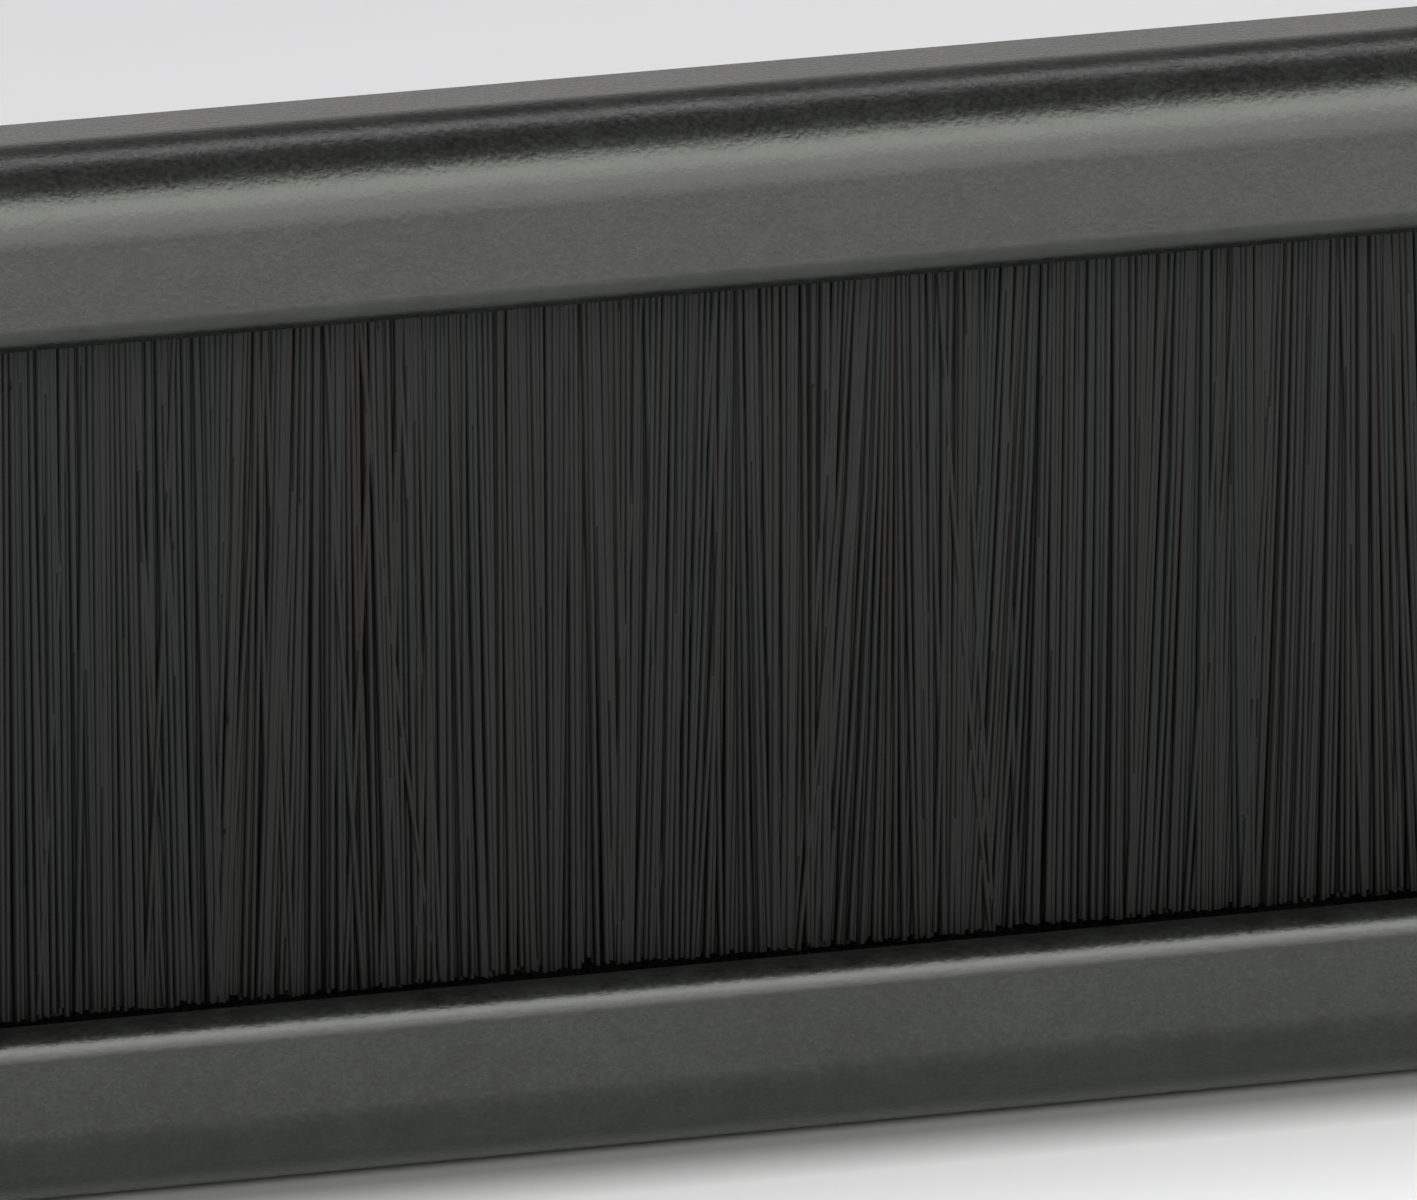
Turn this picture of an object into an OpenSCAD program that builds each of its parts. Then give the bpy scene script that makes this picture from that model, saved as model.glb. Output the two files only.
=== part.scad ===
// Brush strip panel for a 19-inch rack, one rack unit high.
// A folded steel panel has a long window, and one row of bristles hangs
// across it from a strip brush that a clamp rail holds behind the upper border.
// The lower flange returns up in a lip that covers the bristle tips from behind.
// X runs along the panel, Y points back into the rack and Z points up.
// The origin is the centre of the rack slot pattern, on the back face of the ears.
// All sizes are in millimetres.

/* [Panel] */
// Overall width, across both ears
panel_w = 482.6; // [420:0.1:600]
// Height of the panel, a little under one rack unit
panel_h = 44; // [36:0.1:56]
// Thickness of the sheet steel
sheet_t = 1; // [0.8:0.1:1.2]
// Outer radius of the long bends at the top and bottom
bend_r = 3.6; // [3:0.1:4.4]
// Depth of the upper flange, from the front face
flange_d = 6.6; // [5:0.1:9]
// Outer radius of the bend between the lower flange and its lip
lip_r = 1.6; // [1.2:0.1:2]
// Height of the border above the window
border_h = 8; // [6.6:0.1:10]
// Height of the border below the window
low_border_h = 7.8; // [6.6:0.1:10]
// Width of the plain sheet between the window's end and the flange's end
web_w = 16.5; // [15:0.5:30]
// Width of the slit that frees each flange from the ear
relief_w = 1.5; // [1:0.1:2]
// Gap inside the folded hem along the window
hem_gap = 0.4; // [0.2:0.1:0.6]

/* [Ears] */
// Width of each flat ear
ear_w = 17.3; // [16:0.1:24]
// Corner radius of the ears
ear_r = 2.5; // [1:0.1:5]
// From the side edge of the panel to the centre of a rack slot
slot_inset_x = 8.75; // [8:0.05:12]
// From the top or bottom edge to the centre of a rack slot
slot_inset_z = 6.125; // [5:0.025:8]
// Height of a rack slot
slot_h = 6.8; // [5.5:0.1:7]
// Length of a rack slot, end to end
slot_l = 10; // [8:0.1:12]

/* [Strip brush] */
// Width of the metal strip channel
strip_w = 4; // [3.6:0.1:5]
// Thickness of the channel's metal
strip_t = 0.5; // [0.3:0.1:0.6]
// Width of the channel's crimped mouth
mouth_w = 2.4; // [2:0.1:2.6]
// Diameter of the core wire that the bristles are folded over
wire_d = 1.6; // [1:0.1:1.8]
// Thickness of the bristle curtain at its tips
tip_w = 3; // [2:0.1:4]
// Gap from the tips down to the lower edge of the window
tip_gap = 0.1; // [0:0.1:2]

/* [Clamp rail] */
// Thickness of the clamp rail's sheet
clamp_t = 1; // [0.8:0.1:1.2]
// Outer radius of the clamp rail's bends
clamp_r = 1.2; // [1.2:0.1:1.6]
// Height of the feet that are bolted to the panel
foot_h = 17; // [15:0.5:20]
// Width of the ledge under the channel
ledge_w = 0.65; // [0.4:0.05:0.7]

/* [Fasteners] */
// Thread diameter of the weld studs
stud_d = 3; // [2.5:0.5:3]
// Length of the stud from the back of the panel
stud_l = 6.5; // [5.5:0.1:10]
// Diameter of the stud's welded base
stud_base_d = 4; // [3.6:0.1:4.4]
// Outer diameter of the flat washer
washer_d = 7; // [6:0.1:8]
// Thickness of the flat washer
washer_t = 0.5; // [0.4:0.1:0.8]
// Width of the nut across its flats
nut_af = 5.5; // [5:0.1:6]
// Thickness of the nut
nut_t = 2.4; // [1.8:0.1:2.6]

/* [Hidden] */
$fn = 64;

// small clearances
close_fit = 0.05;      // between pieces that are pressed or crimped together
slide_fit = 0.3;       // between pieces that slide in or pass each other
edge_fit = 0.1;        // from the window's edge to the rail or the lip behind it

// panel
face_y = -sheet_t;                                  // front face
body_w = panel_w - 2 * (ear_w + relief_w);          // passes between the rack posts
flat_z = panel_h / 2 - bend_r;                      // where the long bends begin
inner_r = bend_r - sheet_t;
window_w = body_w - 2 * web_w;
window_z1 = panel_h / 2 - border_h;                 // upper edge of the window
window_z0 = low_border_h - panel_h / 2;             // lower edge of the window
window_r = 1;                                       // corner radius of the window
hem_r = sheet_t + hem_gap / 2;                      // outer radius of the hem's fold
hem_end = flat_z - 0.4;                             // end of the hem's flap
hem_l = window_w - 3;                               // the hem stops short of the corners
hem_back = hem_gap + sheet_t;                       // back face of the hem
slot_x = panel_w / 2 - slot_inset_x;
slot_z = panel_h / 2 - slot_inset_z;

// clamp rail
clamp_z0 = window_z1 + edge_fit;
clamp_z1 = panel_h / 2 - sheet_t - slide_fit;
clamp_y0 = hem_back + strip_w;                      // front of the back wall
clamp_y1 = clamp_y0 + clamp_t;
clamp_in_r = clamp_r - clamp_t;
leg_y = inner_r - sqrt(inner_r * inner_r - (inner_r - slide_fit) * (inner_r - slide_fit))
        + 0.4;                                      // the top leg clears the long bend
cheek_x = window_w / 2 + 0.6;                       // inner face of the end cheek
foot_x = body_w / 2 - 1;                            // outer edge of the foot
foot_z1 = flat_z - 0.2;
foot_z0 = foot_z1 - foot_h;
foot_r = 1.5;

// strip brush
strip_y = hem_back + strip_w / 2;                   // middle of the strip
strip_z0 = clamp_z0 + clamp_t;
strip_z1 = clamp_z1 - clamp_t - 0.2;
strip_l = 2 * (cheek_x - slide_fit);
strip_r = 1.2;                                      // outer radius of the channel's back
bulb_r = strip_w / 2 - strip_t - close_fit;         // bristles folded over the wire
wire_z = strip_z1 - strip_t - close_fit - bulb_r;
crimp_h = (wire_z - strip_z0) / 2;                  // height over which the mouth is crimped
bristle_l = strip_l - 1;
tip_z = window_z0 + tip_gap;

// lip of the lower flange, in line with the clamp rail and clear of the bristle tips
lip_y0 = max(clamp_y1 - sheet_t, strip_y + tip_w / 2 + slide_fit);
lip_y1 = lip_y0 + sheet_t;
lip_z = window_z0 - edge_fit;                       // top of the lip

// fasteners
stud_x = (foot_x + cheek_x + clamp_t) / 2;
stud_z = [foot_z1 - 4.5, foot_z0 + 4.5];
stud_base_h = 0.6;
stud_chamfer = 0.4;
foot_hole_d = stud_base_d + 2 * slide_fit;
washer_hole_d = stud_d + 0.2;
nut_chamfer = 0.3;

// carries a (y, z) section along X
module along_x(length) {
    rotate([90, 0, 90])
        linear_extrude(length, center = true)
            children();
}

// gives an (x, z) outline a thickness, from y0 towards the back
module plate(y0, thickness) {
    translate([0, y0 + thickness, 0])
        rotate([90, 0, 0])
            linear_extrude(thickness)
                children();
}

// rectangle with round corners, about the origin
module rounded(w, h, r) {
    square([w - 2 * r, h], center = true);
    square([w, h - 2 * r], center = true);
    for (x = [-1, 1], y = [-1, 1])
        translate([x * (w / 2 - r), y * (h / 2 - r)])
            circle(r);
}

// quarter of a folded sheet's section: sx and sy pick the quadrant
module fold(r, t, sx, sy) {
    intersection() {
        difference() {
            circle(r);
            circle(r - t);
        }
        translate([sx * r / 2, sy * r / 2])
            square(r, center = true);
    }
}

// slot with round ends, long along X
module slot_outline() {
    square([slot_l - slot_h, slot_h], center = true);
    for (x = [-1, 1])
        translate([x * (slot_l - slot_h) / 2, 0])
            circle(d = slot_h);
}

// the flat part of the sheet: the ears, the webs and the face between the bends
module flat_outline() {
    difference() {
        rounded(panel_w, panel_h, ear_r);
        for (z = [-1, 1]) {
            translate([0, z * (flat_z + bend_r / 2)])
                square([body_w + 2 * relief_w, bend_r], center = true);
            for (x = [-1, 1])
                translate([x * (body_w + relief_w) / 2, z * flat_z])
                    circle(d = relief_w);
        }
        translate([0, (window_z1 + window_z0) / 2])
            rounded(window_w, window_z1 - window_z0 + 2 * hem_r, window_r);
        for (x = [-1, 1], z = [-1, 1])
            translate([x * slot_x, z * slot_z])
                slot_outline();
    }
}

// section of a long bend at the top, with its flange running back to y1
module flange_section(y1) {
    translate([inner_r, flat_z])
        fold(bend_r, sheet_t, -1, 1);
    translate([inner_r, panel_h / 2 - sheet_t])
        square([y1 - inner_r, sheet_t]);
}

// section of the lip that the lower flange returns up behind the bristle tips
module lip_section() {
    translate([lip_y1 - lip_r, lip_r - panel_h / 2])
        fold(lip_r, sheet_t, 1, -1);
    translate([lip_y0, lip_r - panel_h / 2])
        square([sheet_t, lip_z + panel_h / 2 - lip_r]);
}

// section of the hem that rounds an upper edge of the window at height z
module hem_section(z) {
    translate([hem_gap / 2, z + hem_r]) {
        fold(hem_r, sheet_t, -1, -1);
        fold(hem_r, sheet_t, 1, -1);
    }
    translate([hem_gap, z + hem_r])
        square([sheet_t, hem_end - z - hem_r]);
}

module front_panel() {
    color("#2b2c2b") {
        plate(face_y, sheet_t) flat_outline();
        along_x(body_w) {
            flange_section(flange_d - sheet_t);
            mirror([0, 1]) flange_section(lip_y1 - lip_r);
            lip_section();
        }
        along_x(hem_l) {
            hem_section(window_z1);
            mirror([0, 1]) hem_section(-window_z0);
        }
    }
}

// section of the clamp rail: top leg, back wall and the ledge under the channel
module clamp_section() {
    translate([leg_y, clamp_z1 - clamp_t])
        square([clamp_y1 - clamp_r - leg_y, clamp_t]);
    translate([clamp_y1 - clamp_r, clamp_z1 - clamp_r])
        fold(clamp_r, clamp_t, 1, 1);
    translate([clamp_y0, clamp_z0 + clamp_r])
        square([clamp_t, clamp_z1 - clamp_z0 - 2 * clamp_r]);
    translate([clamp_y1 - clamp_r, clamp_z0 + clamp_r])
        fold(clamp_r, clamp_t, 1, -1);
    translate([clamp_y0 - ledge_w, clamp_z0])
        square([clamp_y1 - clamp_r - clamp_y0 + ledge_w, clamp_t]);
}

// plan of the rail's right end: back wall, cheek and foot
module clamp_end_plan() {
    translate([cheek_x - 2, clamp_y0])
        square([2 - clamp_in_r, clamp_t]);
    translate([cheek_x - clamp_in_r, clamp_y0 - clamp_in_r])
        fold(clamp_r, clamp_t, 1, 1);
    translate([cheek_x, clamp_r])
        square([clamp_t, clamp_y0 - clamp_in_r - clamp_r]);
    translate([cheek_x + clamp_r, clamp_r])
        fold(clamp_r, clamp_t, -1, -1);
    translate([cheek_x + clamp_r, 0])
        square([foot_x - cheek_x - clamp_r, clamp_t]);
}

// side view of the rail's end, which slopes down to the foot
module clamp_end_side() {
    polygon([
        [0, foot_z0], [clamp_r, foot_z0], [clamp_y1, clamp_z0], [clamp_y1, clamp_z1],
        [leg_y, clamp_z1], [leg_y, foot_z1], [0, foot_z1]
    ]);
}

// front view of the rail's end, with the foot's round corners and its holes
module clamp_end_front() {
    difference() {
        union() {
            translate([cheek_x - 2, foot_z0])
                square([2 + clamp_r, clamp_z1 - foot_z0]);
            translate([(cheek_x + foot_x) / 2, (foot_z0 + foot_z1) / 2])
                rounded(foot_x - cheek_x, foot_h, foot_r);
        }
        for (z = stud_z)
            translate([stud_x, z])
                circle(d = foot_hole_d);
    }
}

module clamp_rail() {
    color("#a9acae") {
        along_x(2 * (cheek_x - 0.8)) clamp_section();
        for (m = [0, 1])
            mirror([m, 0, 0])
                intersection() {
                    translate([0, 0, foot_z0])
                        linear_extrude(clamp_z1 - foot_z0) clamp_end_plan();
                    along_x(panel_w) clamp_end_side();
                    plate(0, clamp_y1) clamp_end_front();
                }
    }
}

// one leg of the strip channel, from the rounded back down to the crimped mouth
module channel_leg() {
    translate([strip_w / 2 - strip_t, strip_z0 + crimp_h])
        square([strip_t, strip_z1 - strip_r - strip_z0 - crimp_h]);
    polygon([
        [strip_w / 2 - strip_t, strip_z0 + crimp_h], [mouth_w / 2, strip_z0],
        [mouth_w / 2 + strip_t, strip_z0], [strip_w / 2, strip_z0 + crimp_h]
    ]);
    translate([strip_w / 2 - strip_r, strip_z1 - strip_r])
        fold(strip_r, strip_t, 1, 1);
}

module strip_channel() {
    color("#8f9499")
        along_x(strip_l)
            translate([strip_y, 0]) {
                for (m = [0, 1])
                    mirror([m, 0])
                        channel_leg();
                translate([strip_r - strip_w / 2, strip_z1 - strip_t])
                    square([strip_w - 2 * strip_r, strip_t]);
            }
}

module core_wire() {
    color("#9aa0a4")
        translate([0, strip_y, wire_z])
            rotate([0, 90, 0])
                cylinder(h = strip_l, d = wire_d, center = true);
}

// the bristles as one closed curtain, folded over the wire and hanging to the tips
module bristles() {
    neck = mouth_w / 2 - close_fit;
    color("#1c1c1d")
        along_x(bristle_l)
            translate([strip_y, 0])
                difference() {
                    union() {
                        translate([0, wire_z])
                            circle(bulb_r);
                        polygon([
                            [-tip_w / 2, tip_z], [tip_w / 2, tip_z], [neck, strip_z0],
                            [neck, wire_z], [-neck, wire_z], [-neck, strip_z0]
                        ]);
                    }
                    translate([0, wire_z])
                        circle(d = wire_d + 2 * close_fit);
                }
}

// repeats a fastener at the four studs, with its axis pointing back
module at_studs(y) {
    for (x = [-1, 1], z = stud_z)
        translate([x * stud_x, y, z])
            rotate([-90, 0, 0])
                children();
}

module weld_studs() {
    color("#b9a58f")
        at_studs(0) {
            cylinder(h = stud_base_h, d = stud_base_d);
            cylinder(h = stud_l - stud_chamfer, d = stud_d);
            translate([0, 0, stud_l - stud_chamfer])
                cylinder(h = stud_chamfer, d1 = stud_d, d2 = stud_d - 2 * stud_chamfer);
        }
}

module washers() {
    color("#c3c6c8")
        at_studs(clamp_t)
            difference() {
                cylinder(h = washer_t, d = washer_d);
                translate([0, 0, -1])
                    cylinder(h = washer_t + 2, d = washer_hole_d);
            }
}

module nuts() {
    corner_d = nut_af / cos(30);
    color("#bcc0c3")
        at_studs(clamp_t + washer_t)
            difference() {
                intersection() {
                    cylinder(h = nut_t, d = corner_d, $fn = 6);
                    rotate_extrude()
                        polygon([
                            [0, 0], [nut_af / 2, 0], [corner_d / 2, nut_chamfer],
                            [corner_d / 2, nut_t - nut_chamfer], [nut_af / 2, nut_t], [0, nut_t]
                        ]);
                }
                translate([0, 0, -1])
                    cylinder(h = nut_t + 2, d = stud_d + 2 * close_fit);
            }
}

front_panel();
clamp_rail();
strip_channel();
core_wire();
bristles();
weld_studs();
washers();
nuts();
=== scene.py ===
# %% [markdown]
# # A brush strip panel for a server rack
# This panel closes one unit of a 19-inch rack and still lets cables through. It is a
# folded sheet of steel with a long window, and a curtain of nylon bristles hangs
# across the window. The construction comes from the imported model, which is loaded
# here as a fixed frame. This lesson gives every piece its finish: it folds the sheets,
# hangs the bristles one by one, and lights the panel on a pale table.

# %% Load the frame
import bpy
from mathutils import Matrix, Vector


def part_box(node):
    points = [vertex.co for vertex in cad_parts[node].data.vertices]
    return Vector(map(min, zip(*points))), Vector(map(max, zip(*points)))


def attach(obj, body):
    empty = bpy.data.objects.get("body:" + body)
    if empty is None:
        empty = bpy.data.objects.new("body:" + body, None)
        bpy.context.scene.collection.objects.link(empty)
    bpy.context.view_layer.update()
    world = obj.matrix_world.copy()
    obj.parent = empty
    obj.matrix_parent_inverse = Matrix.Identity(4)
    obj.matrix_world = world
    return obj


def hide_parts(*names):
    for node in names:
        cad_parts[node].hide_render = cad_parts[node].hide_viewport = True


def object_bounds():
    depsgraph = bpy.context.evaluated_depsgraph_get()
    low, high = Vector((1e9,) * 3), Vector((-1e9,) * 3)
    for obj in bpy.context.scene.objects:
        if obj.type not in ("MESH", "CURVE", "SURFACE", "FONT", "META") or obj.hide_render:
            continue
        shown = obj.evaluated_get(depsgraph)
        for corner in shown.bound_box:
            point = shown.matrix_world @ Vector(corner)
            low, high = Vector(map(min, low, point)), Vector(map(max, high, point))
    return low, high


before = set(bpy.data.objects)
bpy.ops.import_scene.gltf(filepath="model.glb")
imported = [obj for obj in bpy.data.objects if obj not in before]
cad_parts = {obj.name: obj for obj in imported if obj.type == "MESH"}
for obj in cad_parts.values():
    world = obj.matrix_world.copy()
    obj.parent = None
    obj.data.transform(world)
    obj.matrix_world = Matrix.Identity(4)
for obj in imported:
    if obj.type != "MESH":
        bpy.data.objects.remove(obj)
cad_low, cad_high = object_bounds()
print("box of the construction, in metres:", tuple(cad_low), tuple(cad_high))

# %% Libraries and units
import math
import bpy
import numpy as np
from mathutils import Vector
from mathutils.geometry import delaunay_2d_cdt

MM = 0.001                              # the construction's sizes are in millimetres
BODY = "root"                           # nothing on the panel moves, so it is one body
scene = bpy.context.scene


def box_mm(node):
    """Lowest and highest corner of a node of the construction, in millimetres."""
    low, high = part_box(node)
    return np.array(low) / MM, np.array(high) / MM


panel_low, panel_high = box_mm("front_panel")
rail_low, rail_high = box_mm("clamp_rail")
channel_low, channel_high = box_mm("strip_channel")
wire_low, wire_high = box_mm("core_wire")
brush_low, brush_high = box_mm("bristles")
stud_low, stud_high = box_mm("weld_studs")
washer_low, washer_high = box_mm("washers")
nut_low, nut_high = box_mm("nuts")
print("panel", panel_low, panel_high)

# %% [markdown]
# ## The view
# The panel is seen from the left and a little above, from one and a half metres away,
# through a very long lens. Only a short stretch of it fills the frame. A long lens
# keeps the borders nearly parallel.

# %% Camera
VIEW_TURN = math.radians(-19)           # round the panel, to its left
VIEW_RISE = math.radians(15)            # above the horizon
VIEW_DISTANCE = 1.455
LENS = 914                              # focal length in mm on a 36 mm sensor
AIM = Vector((0, -0.001, 0.00145))      # the point at the middle of the frame

backwards = Vector((
    math.sin(VIEW_TURN) * math.cos(VIEW_RISE),
    -math.cos(VIEW_TURN) * math.cos(VIEW_RISE),
    math.sin(VIEW_RISE),
))
camera_data = bpy.data.cameras.new("camera")
camera_data.lens = LENS
camera_data.clip_end = 60
camera = bpy.data.objects.new("camera", camera_data)
camera.location = AIM + backwards * VIEW_DISTANCE
camera.rotation_euler = (-backwards).to_track_quat("-Z", "Y").to_euler()
scene.collection.objects.link(camera)
scene.camera = camera
print("camera at", tuple(round(v, 3) for v in camera.location))

# %% [markdown]
# ## Helpers for meshes
# Every new surface here is a set of points worked out as whole arrays. One helper puts
# such arrays into a mesh, with the exact normals where they are known, and registers
# the piece: it rides on the body and stands for its node.

# %% From arrays to a piece
def make_piece(name, points, faces, material, node, slot, normals=None, flat=(), **marks):
    """Puts points (in mm) and lists of equal-sided faces into one mesh and registers it.

    flat lists the positions in faces of the lists that stay flat shaded, and each of
    marks is a value per point that the material can read as an attribute.
    """
    sizes = np.concatenate([np.full(len(f), f.shape[1]) for f in faces])
    corners = np.concatenate([f.ravel() for f in faces]).astype(np.int32)
    starts = np.concatenate([[0], np.cumsum(sizes)[:-1]]).astype(np.int32)
    smooth = np.concatenate([np.full(len(f), i not in flat) for i, f in enumerate(faces)])
    mesh = bpy.data.meshes.new(name)
    mesh.vertices.add(len(points))
    mesh.vertices.foreach_set("co", (points * MM).astype(np.float32).ravel())
    mesh.loops.add(len(corners))
    mesh.loops.foreach_set("vertex_index", corners)
    mesh.polygons.add(len(sizes))
    mesh.polygons.foreach_set("loop_start", starts)
    mesh.polygons.foreach_set("use_smooth", smooth)
    mesh.update(calc_edges=True)
    for mark, values in marks.items():
        layer = mesh.attributes.new(mark, "FLOAT", "POINT")
        layer.data.foreach_set("value", values.astype(np.float32))
    if normals is not None:
        curved = np.concatenate([np.full(f.size, i not in flat) for i, f in enumerate(faces)])
        mesh.normals_split_custom_set((normals[corners] * curved[:, None]).tolist())
    mesh.materials.append(material)
    piece = bpy.data.objects.new(name, mesh)
    scene.collection.objects.link(piece)
    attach(piece, BODY)
    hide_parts(node)
    print(f"{name}: {len(points)} points, {int((sizes - 2).sum())} triangles")
    return piece


def unit(vectors):
    """Each vector divided by its own length."""
    return vectors / np.linalg.norm(vectors, axis=-1, keepdims=True)


# %% [markdown]
# ## Helpers for materials
# A finish is a small tree of shader nodes. The helper adds one node, sets its own
# settings, and either sets or links each of its sockets.

# %% From a few words to a shader node
def add_node(tree, kind, inputs=(), **settings):
    """Adds a shader node. inputs holds pairs of a socket and a value or another's output."""
    node = tree.nodes.new("ShaderNode" + kind)
    for setting, value in settings.items():
        setattr(node, setting, value)
    for socket, value in dict(inputs).items():
        if isinstance(value, bpy.types.NodeSocket):
            tree.links.new(value, node.inputs[socket])
        else:
            node.inputs[socket].default_value = value
    return node


def new_material(name, **values):
    """A material, its node tree and its surface shader, with the plain values set on it."""
    material = bpy.data.materials.new(name)
    material.use_nodes = True
    shader = material.node_tree.nodes["Principled BSDF"]
    for socket, value in values.items():
        shader.inputs[socket.replace("_", " ")].default_value = value
    return material, material.node_tree, shader


def places(tree, stretch=(1, 1, 1)):
    """The piece's own coordinates in metres, with each axis stretched by a factor."""
    coordinates = add_node(tree, "TexCoord").outputs["Object"]
    turned = add_node(tree, "Mapping", {"Vector": coordinates, "Scale": stretch})
    return turned.outputs["Vector"]


def grain(tree, where, size, detail=2.0, roughness=0.5):
    """Noise whose blotches measure about size millimetres, as values round a half."""
    noise = add_node(tree, "TexNoise", {
        "Vector": where, "Scale": 1 / (size * MM), "Detail": detail, "Roughness": roughness,
    })
    return noise.outputs["Fac"]


def spread(tree, value, low, high, from_low=0.3, from_high=0.7):
    """Stretches a value from one range to another and holds it there."""
    mapped = add_node(tree, "MapRange", {
        "Value": value, "From Min": from_low, "From Max": from_high,
        "To Min": low, "To Max": high,
    })
    return mapped.outputs["Result"]


def combine(tree, operation, first, second):
    """One sum or product of two values."""
    return add_node(tree, "Math", {0: first, 1: second}, operation=operation).outputs[0]


def shades(tree, value, *stops):
    """A colour ramp: each stop is a position and a colour."""
    ramp = add_node(tree, "ValToRGB", {"Fac": value})
    elements = ramp.color_ramp.elements
    while len(elements) < len(stops):
        elements.new(0.5)
    for element, (position, colour) in zip(elements, stops):
        element.position = position
        element.color = (*colour, 1)
    return ramp.outputs["Color"]


def bump(tree, height, depth, strength=1.0, below=None):
    """Turns a height from 0 to 1 into a bump of that depth in millimetres."""
    inputs = {"Height": height, "Distance": depth * MM, "Strength": strength}
    if below is not None:
        inputs["Normal"] = below
    return add_node(tree, "Bump", inputs).outputs["Normal"]


# %% [markdown]
# ## Satin black powder coat
# Powder coat is sprayed on dry and baked, so it flows into a skin with a fine, soft
# grain. It is near black, and most of what shows is its gloss: pale blurred
# reflections of whatever stands round the panel. So the colour stays dark and slightly
# green, the index of refraction is a little high, and noise at three sizes moves the
# height, the colour and the roughness. Along cut edges the coat is thin and paler.

# %% Powder coat
def powder_coat():
    """The panel's finish. The attribute rim is 1 along a cut edge and 0 on the sheet."""
    material, tree, shader = new_material("powder_coat", IOR=1.63)
    where = places(tree)
    fine = grain(tree, where, 0.22, detail=3.0, roughness=0.65)
    peel = grain(tree, where, 1.4, detail=1.0)
    cloud = grain(tree, where, 9.0, detail=3.0)
    rim = add_node(tree, "Attribute", attribute_name="rim").outputs["Fac"]
    tone = combine(tree, "ADD", spread(tree, fine, 0, 0.42), spread(tree, peel, 0, 0.22))
    tone = combine(tree, "ADD", tone, spread(tree, cloud, 0, 0.2))
    tone = combine(tree, "ADD", tone, combine(tree, "MULTIPLY", rim, 0.25))
    colour = shades(
        tree, tone,
        (0.0, (0.0003, 0.0004, 0.0003)),
        (0.9, (0.0170, 0.0186, 0.0170)),
        (1.0, (0.0280, 0.0290, 0.0270)),
    )
    tree.links.new(colour, shader.inputs["Base Color"])
    gloss = combine(tree, "ADD", spread(tree, cloud, 0.215, 0.245), spread(tree, fine, 0, 0.08))
    gloss = combine(tree, "ADD", gloss, combine(tree, "MULTIPLY", rim, 0.12))
    tree.links.new(gloss, shader.inputs["Roughness"])
    normal = bump(tree, peel, 0.012)
    normal = bump(tree, fine, 0.020, below=normal)
    tree.links.new(normal, shader.inputs["Normal"])
    return material


coat = powder_coat()

# %% [markdown]
# ## Cutting and folding a sheet
# The panel and the clamp rail are sheet metal: each is one flat blank, cut out and then
# folded. The mesh is made the same way. First the blank's outlines are drawn with round
# corners. Then the flat is filled with triangles, with extra lines where it will bend,
# and gets two faces and a rounded rim. Last, each bend rolls everything beyond its
# line. Rolling keeps a sheet's length, so holes and slits land where they should.

# %% Outlines with round corners
ROUND = 0.999                           # a round end's radius, as a share of half its height


def round_loop(corners, radii, grow=0.0, turn_step=10.0):
    """A closed loop with each corner replaced by an arc.

    The arc's centre lies one radius from both sides that meet in the corner, so the
    arc touches them. grow moves the whole loop outwards: on a corner that turns left
    the radius grows, on one that turns right it shrinks, and the centres stay.
    """
    corners = np.array(corners, float)
    radii = np.broadcast_to(np.array(radii, float), len(corners))
    coming = unit(corners - np.roll(corners, 1, axis=0))
    going = unit(np.roll(corners, -1, axis=0) - corners)
    cross = coming[:, 0] * going[:, 1] - coming[:, 1] * going[:, 0]
    turn = np.arctan2(cross, (coming * going).sum(axis=1))
    side = np.sign(turn)[:, None]
    left = np.stack([-coming[:, 1], coming[:, 0]], axis=1)
    centre = corners - coming * (radii * np.tan(abs(turn) / 2))[:, None] + left * side * radii[:, None]
    loop = []
    for c, spoke, r, angle, s in zip(centre, -left * side, radii, turn, side[:, 0]):
        steps = max(2, math.ceil(abs(math.degrees(angle)) / turn_step) + 1)
        a = np.linspace(0, angle, steps)
        turned = np.stack([
            spoke[0] * np.cos(a) - spoke[1] * np.sin(a),
            spoke[0] * np.sin(a) + spoke[1] * np.cos(a),
        ], axis=1)
        loop.append(c + turned * (r + s * grow))
    return np.concatenate(loop)


def inside(points, loops):
    """True where a point lies inside an odd number of loops.

    A ray runs from each point towards +x and its crossings with all sides are counted.
    """
    start = np.concatenate(loops)
    end = np.concatenate([np.roll(loop, -1, axis=0) for loop in loops])
    x, y = points[:, 0][:, None], points[:, 1][:, None]
    spans = (start[:, 1] > y) != (end[:, 1] > y)
    rise = np.where(end[:, 1] == start[:, 1], 1.0, end[:, 1] - start[:, 1])
    crossing = start[:, 0] + (y - start[:, 1]) * (end[:, 0] - start[:, 0]) / rise
    return ((spans & (x < crossing)).sum(axis=1) % 2).astype(bool)


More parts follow.
